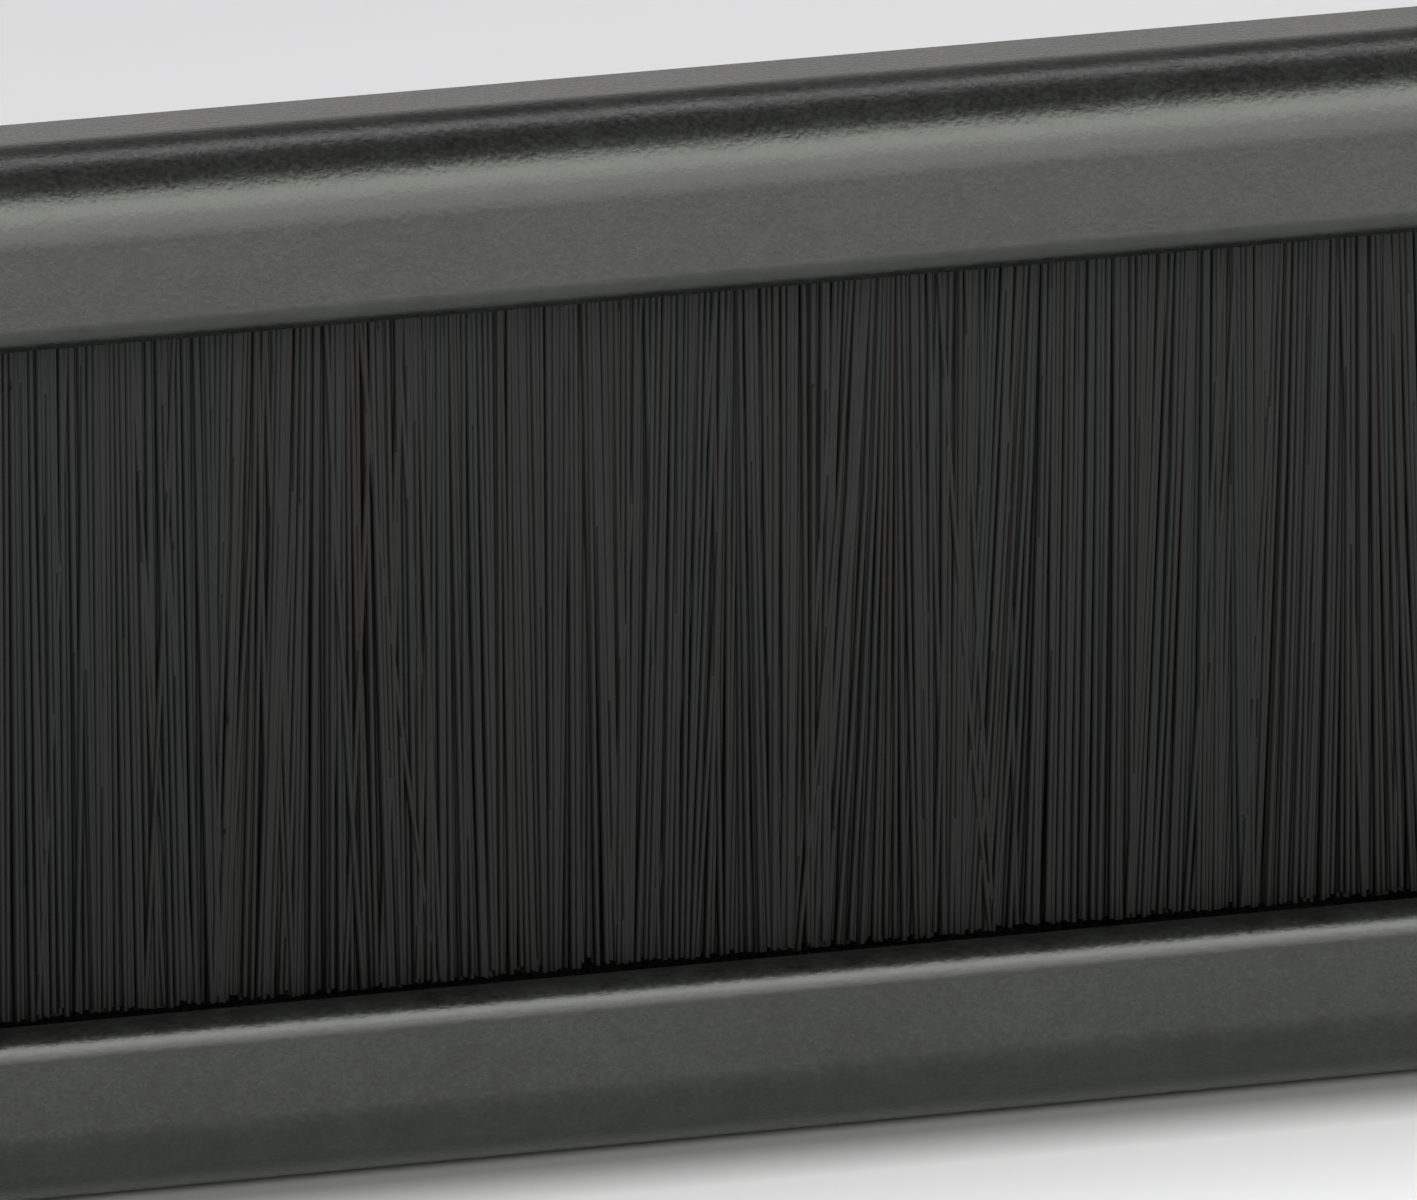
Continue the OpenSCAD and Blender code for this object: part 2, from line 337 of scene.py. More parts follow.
# %% The flat blank
def cut_blank(loops, bend_lines, thickness, rim=0.12, rim_steps=4):
    """A flat sheet with a rounded rim, as points (x, s, w), normals, faces and a mark.

    loops are the outline and the holes, already drawn back from the edge by rim. Both
    faces of the sheet share one triangle pattern, and ends of bend lines that lie off the
    sheet are dropped. The rim carries each border point outwards: out by rim * sin(a) and
    in from the face by rim * (1 - cos(a)), with a from 0 to 90 degrees on the first face
    and back on the second.
    """
    flat = [Vector(p) for loop in loops for p in loop] + [Vector(p) for line in bend_lines for p in line]
    sides = []
    first = 0
    for loop in loops:
        sides += [(first + i, first + (i + 1) % len(loop)) for i in range(len(loop))]
        first += len(loop)
    sides += [(first + 2 * i, first + 2 * i + 1) for i in range(len(bend_lines))]
    spots, _, triangles, *_ = delaunay_2d_cdt(flat, sides, [], 0, 1e-5)
    spots = np.array([tuple(p) for p in spots])
    triangles = np.array([tuple(t) for t in triangles])
    triangles = triangles[inside(spots[triangles].mean(axis=1), loops)]
    used, triangles = np.unique(triangles, return_inverse=True)
    spots, triangles = spots[used], triangles.reshape(-1, 3)

    pairs = np.concatenate([triangles[:, [0, 1]], triangles[:, [1, 2]], triangles[:, [2, 0]]])
    code = pairs.min(axis=1) * len(spots) + pairs.max(axis=1)
    _, place, count = np.unique(code, return_inverse=True, return_counts=True)
    border = pairs[count[place] == 1]
    along = unit(spots[border[:, 1]] - spots[border[:, 0]])
    out = np.zeros_like(spots)
    for end in (0, 1):
        np.add.at(out, border[:, end], np.stack([along[:, 1], -along[:, 0]], axis=1))
    edge = np.unique(border)
    out[edge] = unit(out[edge])

    half = thickness / 2
    quarter = np.linspace(0, math.pi / 2, rim_steps)[1:]
    turns = np.concatenate([quarter, quarter[::-1]])
    face = np.repeat([-1, 1], len(quarter))
    depth = face * (half - rim * (1 - np.cos(turns)))
    points = [np.c_[spots, np.full(len(spots), -half)], np.c_[spots, np.full(len(spots), half)]]
    normals = [np.tile([0, 0, -1.0], (len(spots), 1)), np.tile([0, 0, 1.0], (len(spots), 1))]
    for a, f, w in zip(turns, face, depth):
        points.append(np.c_[spots[edge] + out[edge] * rim * np.sin(a), np.full(len(edge), w)])
        normals.append(np.c_[out[edge] * np.sin(a), np.full(len(edge), f * np.cos(a))])
    marks = np.repeat([0.0, 1.0], [2 * len(spots), len(depth) * len(edge)])
    number = np.zeros(len(spots), int)
    number[edge] = np.arange(len(edge))
    rings = [border] + [number[border] + 2 * len(spots) + k * len(edge) for k in range(len(depth))]
    rings.append(border + len(spots))
    walls = np.concatenate([
        np.c_[a[:, 0], b[:, 0], b[:, 1], a[:, 1]] for a, b in zip(rings[:-1], rings[1:])
    ])
    faces = [triangles, triangles[:, ::-1] + len(spots), walls]
    return np.concatenate(points), np.concatenate(normals), faces, marks


# %% One bend
def bend(points, normals, beyond, axis, start, sign, radius, angle, towards):
    """Rolls the part of a sheet beyond a line round a cylinder, in place.

    u is the distance beyond the line and w the height over the sheet's middle. Up to
    the arc's length, radius * angle, the sheet follows the arc: it has turned by
    u / radius. Past it the sheet runs on straight by what is left of u. A height w
    towards the cylinder's centre lies on a radius smaller by w.
    """
    u = (points[:, axis] - start) * sign
    on = beyond & (u > 0)
    u, w = u[on], points[on, 2] * towards
    turn = np.minimum(u / radius, angle)
    rest = np.maximum(u - radius * angle, 0)
    points[on, axis] = start + sign * ((radius - w) * np.sin(turn) + rest * np.cos(turn))
    points[on, 2] = towards * (radius - (radius - w) * np.cos(turn) + rest * np.sin(turn))
    nu, nw = normals[on, axis] * sign, normals[on, 2] * towards
    normals[on, axis] = sign * (nu * np.cos(turn) - nw * np.sin(turn))
    normals[on, 2] = towards * (nu * np.sin(turn) + nw * np.cos(turn))


def lines_across(axis, start, sign, length, low, high, steps):
    """The lines along which a bend's triangles may fold: steps + 1 of them, from low to high."""
    at = start + sign * np.linspace(0, length, steps + 1)
    ends = np.array([low, high], float)
    pairs = [np.stack([np.full(2, a), ends], axis=1) for a in at]
    return pairs if axis == 0 else [p[:, ::-1] for p in pairs]


# %% [markdown]
# ## The front panel
# The panel's blank has four rack slots in its ears and one long window. Flaps along
# the window's edges roll right round into closed hems, so cables meet a round edge.
# The long upper and lower borders roll back into flanges with a generous radius, and
# the lower flange turns up once more behind the bristle tips. Slits beside the ears
# leave the ears flat, so they can lie on the rack's posts.

# %% Front panel
SHEET = 1.0
EDGE = 0.12                             # radius of the coated cut edges
BEND_R = 3.6                            # outside radius of the long bends
LIP_R = 1.6
HEM_R = 1.2
WINDOW_HALF = 206.0                     # half the window's width
WINDOW_EDGES = {1: 14.0, -1: 14.2}      # how far the window reaches up and down
HEM_HALF = 204.5                        # half a hem's length
HEM_END = 18.0                          # how far up or down a hem's flap ends
EDGE_FIT = 0.1                          # from the window's edge to the rail or the lip
BODY_HALF = 222.5                       # half the width of the flanges
EAR_HALF = 224.0                        # where the ears begin
EAR_CORNER = 2.5
SLOT = np.array([232.55, 15.875])       # centre of a rack slot
SLOT_SIZE = np.array([10.0, 6.8])


def mirrored(corners, radii):
    """A right-hand half outline, listed upwards, with its mirror image to close it."""
    corners = np.array(corners, float)
    return np.concatenate([corners, corners[::-1] * [-1, 1]]), list(radii) + list(radii)[::-1]


def front_panel():
    """Cuts the panel's blank, then rolls its lip, flanges and hems."""
    half_height = panel_high[2]
    middle = BEND_R - SHEET / 2
    lip_middle = LIP_R - SHEET / 2
    hem_middle = HEM_R - SHEET / 2
    quarter = math.pi / 2
    flat = half_height - BEND_R                         # where the long bends begin
    hem_line = {sign: edge + HEM_R for sign, edge in WINDOW_EDGES.items()}
    hem_end = {sign: 2 * line - hem_middle * math.pi - HEM_END for sign, line in hem_line.items()}
    upper_flange = 3.0
    lip_back = rail_high[1]
    lower_flange = lip_back - LIP_R - (BEND_R - SHEET)
    lip_line = flat + middle * quarter + lower_flange
    lip_height = half_height - LIP_R - WINDOW_EDGES[-1] - EDGE_FIT
    top = flat + middle * quarter + upper_flange
    bottom = -(lip_line + lip_middle * quarter + lip_height)
    slit = (EAR_HALF - BODY_HALF) / 2
    corners, radii = mirrored([
        (BODY_HALF, bottom), (BODY_HALF, -flat + slit), (EAR_HALF, -flat + slit),
        (EAR_HALF, -half_height), (panel_high[0], -half_height),
        (panel_high[0], half_height), (EAR_HALF, half_height),
        (EAR_HALF, flat - slit), (BODY_HALF, flat - slit), (BODY_HALF, top),
    ], [0.3, slit, slit, 0.3, EAR_CORNER, EAR_CORNER, 0.3, slit, slit, 0.3])
    loops = [round_loop(corners, radii, -EDGE)]
    notch = 0.3
    corners, radii = mirrored([
        (HEM_HALF, -hem_end[-1]), (HEM_HALF, -hem_line[-1]), (WINDOW_HALF, -hem_line[-1]),
        (WINDOW_HALF, hem_line[1]), (HEM_HALF, hem_line[1]), (HEM_HALF, hem_end[1]),
    ], [notch, notch, 1, 1, notch, notch])
    loops.append(round_loop(corners, radii, EDGE))
    w, h = SLOT_SIZE / 2
    for x in (-SLOT[0], SLOT[0]):
        for z in (-SLOT[1], SLOT[1]):
            corners = [(x - w, z - h), (x + w, z - h), (x + w, z + h), (x - w, z + h)]
            loops.append(round_loop(corners, h * ROUND, EDGE, turn_step=6))
    reach, hem_reach = BODY_HALF + slit, HEM_HALF + 0.7
    lines = []
    for sign, line in hem_line.items():
        lines += lines_across(1, sign * flat, sign, middle * quarter, -reach, reach, 24)
        lines += lines_across(1, sign * line, -sign, hem_middle * math.pi, -hem_reach, hem_reach, 32)
    lines += lines_across(1, -lip_line, -1, lip_middle * quarter, -reach, reach, 14)
    points, normals, faces, rim = cut_blank(loops, lines, SHEET, EDGE)
    between = abs(points[:, 0]) < reach
    hem = (abs(points[:, 0]) < hem_reach) & (points[:, 1] > -hem_line[-1]) & (points[:, 1] < hem_line[1])
    bend(points, normals, between, 1, -lip_line, -1, lip_middle, quarter, 1)
    for sign, line in hem_line.items():
        bend(points, normals, between & ~hem, 1, sign * flat, sign, middle, quarter, 1)
        near = hem & (points[:, 1] * sign > 0)
        bend(points, normals, near, 1, sign * line, -sign, hem_middle, math.pi, 1)
    points = np.c_[points[:, 0], points[:, 2] - SHEET / 2, points[:, 1]]
    normals = np.c_[normals[:, 0], normals[:, 2], normals[:, 1]]
    return make_piece("front_panel_folded", points, faces, coat, "front_panel",
                      "panel_powder_coat", normals, rim=rim)


front_panel()

# %% [markdown]
# ## Zinc, galvanised strip, wire and copper
# The parts behind the panel are plain metal. Zinc plate is bright with a soft cloudy
# tone and fine rolling lines along the sheet. The strip's channel is hot-dip
# galvanised, and its zinc has frozen in crystals of different greys. Weld studs are
# flashed with copper. For a metal, the colour is what it reflects, so it varies little
# and the roughness carries most of the surface.

# %% Metals
ROLLED = (0.008, 0.3, 0.3)              # noise stretched this way draws lines along X


def rolled_metal(name, colours, sheen, blotch=6.0):
    """Plated metal with fine lines along X: noise stretched along the sheet's length."""
    material, tree, shader = new_material(name, Metallic=1.0)
    where = places(tree)
    cloud = grain(tree, where, blotch, detail=4.0, roughness=0.6)
    streak = grain(tree, places(tree, ROLLED), 0.02, detail=3.0)
    tone = combine(tree, "ADD", spread(tree, cloud, 0, 0.6), spread(tree, streak, 0, 0.4))
    tree.links.new(shades(tree, tone, (0.0, colours[0]), (1.0, colours[1])), shader.inputs["Base Color"])
    rough = combine(tree, "ADD", spread(tree, cloud, *sheen), spread(tree, streak, 0, 0.08))
    tree.links.new(rough, shader.inputs["Roughness"])
    tree.links.new(bump(tree, streak, 0.004), shader.inputs["Normal"])
    return material


def spangled_metal(name, dark, light):
    """Galvanised steel: cells of about 2 mm, each one crystal with its own grey."""
    material, tree, shader = new_material(name, Metallic=1.0)
    where = places(tree)
    cells = add_node(tree, "TexVoronoi", {"Vector": where, "Scale": 1 / (2.2 * MM), "Randomness": 1.0})
    crystal = add_node(tree, "SeparateColor", {"Color": cells.outputs["Color"]}).outputs["Red"]
    frost = grain(tree, where, 0.3, detail=3.0)
    tone = combine(tree, "ADD", spread(tree, crystal, 0, 0.7, 0, 1), spread(tree, frost, 0, 0.3))
    tree.links.new(shades(tree, tone, (0.0, dark), (1.0, light)), shader.inputs["Base Color"])
    tree.links.new(spread(tree, tone, 0.52, 0.34, 0, 1), shader.inputs["Roughness"])
    tree.links.new(bump(tree, frost, 0.006), shader.inputs["Normal"])
    return material


zinc = rolled_metal("zinc_plate", ((0.52, 0.54, 0.55), (0.68, 0.69, 0.69)), (0.24, 0.34))
spangle = spangled_metal("galvanised_strip", (0.34, 0.36, 0.38), (0.56, 0.58, 0.60))
wire_steel = rolled_metal("steel_wire", ((0.42, 0.43, 0.44), (0.55, 0.56, 0.57)), (0.3, 0.38))
copper_flash = rolled_metal("copper_flash", ((0.52, 0.30, 0.20), (0.70, 0.45, 0.32)), (0.28, 0.42),
                            blotch=1.2)
bright_zinc = rolled_metal("bright_zinc", ((0.60, 0.62, 0.64), (0.74, 0.75, 0.73)), (0.16, 0.26), blotch=1.5)

# %% [markdown]
# ## The clamp rail
# A long channel of zinc-plated sheet presses the brush against the upper border. Its
# top leg and its ledge bend forward, and at each end a cheek bends forward and a foot
# bends out again, flat against the panel, where two studs come through. It is one
# blank with six bends in all, and the same cutting and rolling serve it.

# %% Clamp rail
RAIL = 1.0
RAIL_R = 1.2
LEG_HALF = 205.8                        # half the length of the leg and the ledge
CORNER_SLIT = 0.3
FOOT = np.array([1.2, 18.2])            # lowest and highest edge of the feet
STUDS = np.array([214.55, 13.7, 5.7])   # x of the studs, and their two heights
FOOT_HOLE = 4.6
LEG_FRONT = 1.79                        # y of the front edge of the top leg
LEDGE_FLAT = 0.45                       # what is left of the ledge past its bend
CHEEK_OUT = 207.6                       # x of the outside of a cheek
FOOT_FLAT = 207.8                       # x where a foot is flat again, past its bend


def clamp_rail():
    """Cuts the rail's blank in the plane of its back wall, then bends its six flaps."""
    quarter = math.pi / 2
    middle = RAIL_R - RAIL / 2
    arc = middle * quarter
    back = rail_high[1]
    low, high = WINDOW_EDGES[1] + EDGE_FIT, rail_high[2]
    leg_line, ledge_line = high - RAIL_R, low + RAIL_R
    leg_end = leg_line + arc + back - RAIL_R - LEG_FRONT
    ledge_end = ledge_line - arc - LEDGE_FLAT
    cheek_line = CHEEK_OUT - RAIL_R
    cheek_end = cheek_line + arc + back - 2 * RAIL_R
    foot_start = cheek_end + arc
    foot_end = foot_start + rail_high[0] - FOOT_FLAT
    cheek_top = cheek_line + arc + back - RAIL_R - LEG_FRONT
    wall = LEG_HALF + CORNER_SLIT
    fine = CORNER_SLIT / 2 * 0.9
    corners, radii = mirrored([
        (LEG_HALF, ledge_end), (LEG_HALF, ledge_line), (wall, ledge_line), (wall, low),
        (cheek_end, FOOT[0]), (foot_end, FOOT[0]), (foot_end, FOOT[1]),
        (cheek_top, FOOT[1]), (cheek_top, high), (wall, high), (wall, leg_line),
        (LEG_HALF, leg_line), (LEG_HALF, leg_end),
    ], [0.3, fine, fine, 0.2, 0.5, 1.5, 1.5, 0.5, 0.5, 0.2, fine, fine, 0.3])
    loops = [round_loop(corners, radii, -0.1)]
    hole_x = foot_start + STUDS[0] - FOOT_FLAT
    r = FOOT_HOLE / 2
    for x in (-hole_x, hole_x):
        for z in STUDS[1:]:
            corners = [(x - r, z - r), (x + r, z - r), (x + r, z + r), (x - r, z + r)]
            loops.append(round_loop(corners, r * ROUND, 0.1, turn_step=6))
    lines = []
    for sign in (-1, 1):
        lines += lines_across(0, sign * cheek_end, sign, arc, 0.5, high + 0.5, 10)
        lines += lines_across(0, sign * cheek_line, sign, arc, 0.5, high + 0.5, 10)
    reach = LEG_HALF + CORNER_SLIT / 2
    lines += lines_across(1, leg_line, 1, arc, -reach, reach, 10)
    lines += lines_across(1, ledge_line, -1, arc, -reach, reach, 10)
    points, normals, faces, rim = cut_blank(loops, lines, RAIL, 0.1)
    long_flaps = abs(points[:, 0]) < reach
    ends = ~long_flaps
    for sign in (-1, 1):
        side = ends & (points[:, 0] * sign > 0)
        bend(points, normals, side, 0, sign * cheek_end, sign, middle, quarter, 1)
        bend(points, normals, side, 0, sign * cheek_line, sign, middle, quarter, -1)
    bend(points, normals, long_flaps, 1, leg_line, 1, middle, quarter, -1)
    bend(points, normals, long_flaps, 1, ledge_line, -1, middle, quarter, -1)
    points = np.c_[points[:, 0], points[:, 2] + back - RAIL / 2, points[:, 1]]
    normals = np.c_[normals[:, 0], normals[:, 2], normals[:, 1]]
    return make_piece("clamp_rail_folded", points, faces, zinc, "clamp_rail",
                      "zinc_plate", normals)


clamp_rail()

# %% [markdown]
# ## The strip brush: channel and wire
# A strip brush is a row of bristles folded over a wire and crimped into a small metal
# channel. The channel is a thin strip rolled to a C with its mouth pressed narrow. It
# is drawn as a middle line in cross-section, thickened both ways and carried along X.

# %% Strip channel
def carried_along_x(middle_line, thickness, x_low, x_high):
    """A strip of even thickness: its middle line (y, z) moved half a thickness both ways.

    At each point of the line the way out is the direction along the line turned by 90
    degrees. The closed loop is out one side and back the other. It is carried from
    x_low to x_high, and the ends are closed by quads between the two sides.
    """
    along = unit(np.gradient(middle_line, axis=0))
    out = np.stack([along[:, 1], -along[:, 0]], axis=1)
    sides = np.concatenate([middle_line + out * thickness / 2, (middle_line - out * thickness / 2)[::-1]])
    n, m = len(sides), len(middle_line)
    xs = np.array([x_low, x_high])
    points = np.concatenate([np.c_[np.full(n, x), sides] for x in xs])
    i = np.arange(n)
    j = (i + 1) % n
    walls = np.stack([i, j, j + n, i + n], axis=1)
    k = np.arange(m - 1)
    first_end = np.stack([k, n - 1 - k, n - 2 - k, k + 1], axis=1)
    return points, [walls, first_end, first_end[:, ::-1] + n]


def rounded_line(corners, radii, steps=8):
    """An open line of straight stretches with an arc in each inner corner."""
    corners = np.array(corners, float)
    parts = [corners[:1]]
    for before, here, after, r in zip(corners[:-2], corners[1:-1], corners[2:], radii):
        coming, going = unit(here - before), unit(after - here)
        turn = math.atan2(coming[0] * going[1] - coming[1] * going[0], coming @ going)
        start = here - coming * r * math.tan(abs(turn) / 2)
        side = np.sign(turn) * np.array([-coming[1], coming[0]])
        a = np.linspace(0, abs(turn), steps + 1)[:, None]
        parts.append(start + side * r * (1 - np.cos(a)) + coming * r * np.sin(a))
    parts.append(corners[-1:])
    return np.concatenate(parts)


STRIP = 0.5
MOUTH = 2.4
STRIP_R = 1.2


def strip_channel():
    """The C-shaped channel: down one leg, in at the crimp, and the same on the other."""
    y_low, y_high = channel_low[1] + STRIP / 2, channel_high[1] - STRIP / 2
    middle = (y_low + y_high) / 2
    lip = MOUTH / 2 + STRIP / 2
    crimp = channel_low[2] + 1.2
    top = channel_high[2] - STRIP / 2
    line = rounded_line([
        (middle + lip, channel_low[2]), (y_high, crimp), (y_high, top),
        (y_low, top), (y_low, crimp), (middle - lip, channel_low[2]),
    ], [0.6, STRIP_R - STRIP / 2, STRIP_R - STRIP / 2, 0.6])
    points, faces = carried_along_x(line, STRIP, channel_low[0], channel_high[0])
    return make_piece("strip_channel_rolled", points, faces, spangle, "strip_channel",
                      "galvanised_strip", flat=(0, 1, 2))


strip_channel()


# %% Core wire
def turned(profile, steps, axis, loop=False):
    """A profile of (radius, distance) carried round an axis.

    The point at angle a is radius * cos(a) and radius * sin(a) across the axis and
    distance along it. A loop closes on itself, as the section of a ring does. Else the
    first and the last circle are each closed by one flat face.
    """
    a = np.arange(steps) * 2 * math.pi / steps
    r, d = np.array(profile, float).T
    across = r[:, None] * np.cos(a), r[:, None] * np.sin(a)
    along = np.repeat(d[:, None], steps, axis=1)
    order = {"x": (along, *across), "y": (across[1], along, across[0])}[axis]
    points = np.stack(order, axis=-1).reshape(-1, 3)
    i, j = np.meshgrid(np.arange(len(r) - (not loop)), np.arange(steps), indexing="ij")
    k, n = (j + 1) % steps, (i + 1) % len(r)
    walls = np.stack([i * steps + j, i * steps + k, n * steps + k, n * steps + j], axis=-1)
    circle = np.arange(steps)[None]
    caps = [] if loop else [circle[:, ::-1], circle + (len(r) - 1) * steps]
    return points, [walls.reshape(-1, 4), *caps]


def core_wire():
    """The wire, with its ends cut and slightly rounded."""
    r = (wire_high[2] - wire_low[2]) / 2
    length = wire_high[0] - wire_low[0]
    a = np.linspace(0, math.pi / 2, 4)
    edge = 0.15
    start = np.stack([r - edge + edge * np.sin(a), edge - edge * np.cos(a)], axis=1)
    profile = np.concatenate([start, (start * [1, -1] + [0, length])[::-1]])
    centre = np.array([wire_low[0], (wire_low[1] + wire_high[1]) / 2, (wire_low[2] + wire_high[2]) / 2])
    points, faces = turned(profile, 32, "x")
    return make_piece("core_wire_drawn", points + centre, faces, wire_steel, "core_wire",
                      "steel_wire", flat=(1, 2))


core_wire()

# %% [markdown]
# ## Studs, washers and nuts
# The rail is held by four studs welded to the back of the panel. A thread is a helix,
# so its surface is again a function of two parameters: the angle round the stud and
# the distance along it set how deep in the groove a point lies. A nut is turned too,
# but its radius follows the hexagon, and a cone takes off its corners.

# %% Weld studs
THREAD = 3.0
PITCH = 0.5
STUD_BASE = np.array([4.0, 0.6])        # diameter and height of the welded base
STUD_STEPS = 30


def at_studs(points, faces):
    """The same points and faces, made about the origin, at each of the four studs."""
    spots = [(x, 0, z) for x in (-STUDS[0], STUDS[0]) for z in STUDS[1:]]
    everywhere = np.concatenate([points + spot for spot in spots])
    return everywhere, [np.concatenate([f + len(points) * i for i in range(len(spots))]) for f in faces]


def weld_studs():
    """Four studs. The thread's radius is a triangle wave of y / pitch - angle / full turn."""
    r, base_r = THREAD / 2, STUD_BASE[0] / 2
    tip = stud_high[1]
    foot = [(base_r - 0.1, 0), (base_r, 0.1), (base_r, STUD_BASE[1] - 0.15),
            (base_r - 0.15, STUD_BASE[1]), (r, STUD_BASE[1])]
    shank = [(r, y) for y in np.arange(STUD_BASE[1] + 0.1, tip - 0.35, PITCH / 8)]
    end = [(r - 0.2, tip - 0.2), (r - 0.42, tip)]
    points, faces = turned(foot + shank + end, STUD_STEPS, "y")
    angle = np.arctan2(points[:, 0], points[:, 2]) / (2 * math.pi)
    wave = abs((points[:, 1] / PITCH - angle) % 1 - 0.5) * 2
    fade = np.clip((points[:, 1] - STUD_BASE[1]) / 0.3, 0, 1) * np.clip((tip - points[:, 1]) / 0.5, 0, 1)
    depth = 0.54 * PITCH * np.clip(1.15 * wave - 0.08, 0, 1) * fade
    radius = np.hypot(points[:, 0], points[:, 2])
    points[:, [0, 2]] *= np.where(radius > 1, 1 - depth / np.maximum(radius, 1), 1)[:, None]
    points, faces = at_studs(points, faces)
    return make_piece("weld_studs_threaded", points, faces, copper_flash, "weld_studs",
                      "stud_steel", flat=(1, 2))


weld_studs()


# %% Washers and nuts
def washers():
    """Four flat washers, blanked from strip, so their edges are a little round."""
    outer, hole = 3.5, 1.6
    low, high = washer_low[1], washer_high[1]
    a = np.linspace(0, math.pi / 2, 4)
    edge = 0.12
    back = np.stack([outer - edge + edge * np.sin(a), high - edge + edge * np.cos(a)], axis=1)
    front = back * [1, -1] + [0, low + high]
    profile = np.concatenate([[(hole, low)], front, back[::-1], [(hole, high)]])
    points, faces = at_studs(*turned(profile, 48, "y", loop=True))
    return make_piece("flat_washers", points, faces, bright_zinc, "washers", "fastener_zinc")


def nuts():
    """Four hexagon nuts. The radius at an angle is half the width over the flats divided
    by the cosine of the angle from the nearest flat's middle, and the corners drop with
    that radius along a cone of 30 degrees."""
    flats, bore = 5.5 / 2, 1.5
    low, high = nut_low[1], nut_high[1]
    steps = 72
    a = np.arange(steps) * 2 * math.pi / steps
    hexagon = flats / np.cos((a % (math.pi / 3)) - math.pi / 6)
    drop = (hexagon - flats * 0.98) * math.tan(math.radians(30))
    still = np.ones(steps)
    rings = [
        (bore * still, low + 0.25 * still), (bore * still + 0.25, low * still),
        (flats * 0.98 * still, low * still), (hexagon, low + drop), (hexagon, high - drop),
        (flats * 0.98 * still, high * still), (bore * still + 0.25, high * still),
        (bore * still, high - 0.25 * still),
    ]
    points = np.concatenate([np.stack([r * np.cos(a), d, r * np.sin(a)], axis=1) for r, d in rings])
    _, (walls,) = turned(np.zeros((len(rings), 2)), steps, "y", loop=True)
    points, faces = at_studs(points, [walls[:, ::-1]])
    return make_piece("hexagon_nuts", points, faces, bright_zinc, "nuts", "fastener_zinc", flat=(0,))


washers()
nuts()

# %% [markdown]
# ## The bristles
# The curtain is what the eye rests on, so it is made of bristles and not of a
# pattern. Each filament is folded over the wire like a hairpin, and its two legs hang
# down in front and behind. Left alone, such a row is never even: the legs lean
# together over some centimetres, gather in clumps, open narrow gaps that look black,
# and a few stray across their neighbours. Each of those is one term in the sideways
# shift of a leg, and the terms are smooth random curves along the panel.

# %% Nylon
def black_nylon():
    """Black nylon filament. The attribute shade is one random number per filament.

    The colour also darkens downwards, from its full value high up to 0.35 of it near the
    tips. This darkening is painted shade, standing in for the shade on the lower curtain:
    a real brush has one colour.
    """
    material, tree, shader = new_material("black_nylon", IOR=1.33)
    shade = add_node(tree, "Attribute", attribute_name="shade").outputs["Fac"]
    colour = shades(
        tree, shade,
        (0.0, (0.0058, 0.0048, 0.0040)),
        (0.3, (0.0082, 0.0078, 0.0074)),
        (0.7, (0.0072, 0.0088, 0.0098)),
        (1.0, (0.0112, 0.0120, 0.0122)),
    )
    # Painted shade: the base colour is scaled from 1.0 at 8 mm up to 0.35 at the tips.
    height = add_node(tree, "SeparateXYZ", {"Vector": places(tree)}).outputs["Z"]
    painted_shade_downwards = spread(tree, height, 0.35, 1.0, -14 * MM, 8 * MM)
    colour = add_node(tree, "VectorMath", {0: colour, "Scale": painted_shade_downwards}, operation="SCALE").outputs["Vector"]
    tree.links.new(colour, shader.inputs["Base Color"])
    along = places(tree, (1, 1, 0.12))
    scuff = grain(tree, along, 0.08, detail=2.0)
    tree.links.new(combine(tree, "ADD", spread(tree, scuff, 0, 0.1), spread(tree, shade, 0.44, 0.56, 0, 1)),
                   shader.inputs["Roughness"])
    tree.links.new(bump(tree, scuff, 0.004), shader.inputs["Normal"])
    return material


nylon = black_nylon()

# %% Bristles
LAYERS = (                              # filaments, jitter, depth in the mouth, looseness
    (1900, 0.06, (0.80, 0.85), 0.06),
    (1600, 0.50, (0.88, 0.97), 0.9),
    (1600, 0.50, (0.92, 1.01), 1.0),
)
FILAMENT_R = 0.15
BACK_OFFSET = 0.12                      # a hairpin's back leg stands half a place aside
SIDES = 5
TIP_SPREAD = 1.38                       # how far the outermost tips stand from the middle
LEAN = math.radians(1.0)                # the whole row leans a little to one side
MOUTH_REACH = 1.02                      # no leg's depth in the mouth is more than this
FOLD_R = 1.0                            # radius of a fold over the wire before its spread
FOLD_SPREAD = 0.33                      # how much larger the fold of the outermost leg is
TIP_DROP = 0.36                         # about how far the longest tips hang below the node
STRAY_REACH = 0.4                       # how far strays may pass the ends of the row
POWER, POWER_SPREAD = 1.25, 0.25        # how late a leg bends aside, and how much that varies
rng = np.random.default_rng(19)


def wander(x, spacing):
    """A smooth random curve along x: random heights at even knots, eased in between."""
    low = x.min() - spacing
    knots = rng.normal(size=int((x.max() - low) / spacing) + 3)
    place = (x - low) / spacing
    i = place.astype(int)
    t = place - i
    t = t * t * (3 - 2 * t)
    return knots[i] * (1 - t) + knots[i + 1] * t


def leg_shift(x, length, loose):
    """Sideways shift at the tip of each leg that starts at x."""
    lean = -math.tan(LEAN) * length + 0.34 * wander(x, 17) + 0.34 * wander(x, 5.5)
    clump = 0.75 * wander(x, 2.2) + 0.25 * wander(x, 0.9)
    own = rng.normal(0, 0.12, len(x))
    stray = rng.normal(0, 1.1, len(x)) * (rng.random(len(x)) < 0.15)
    return lean + (clump + own + stray) * loose


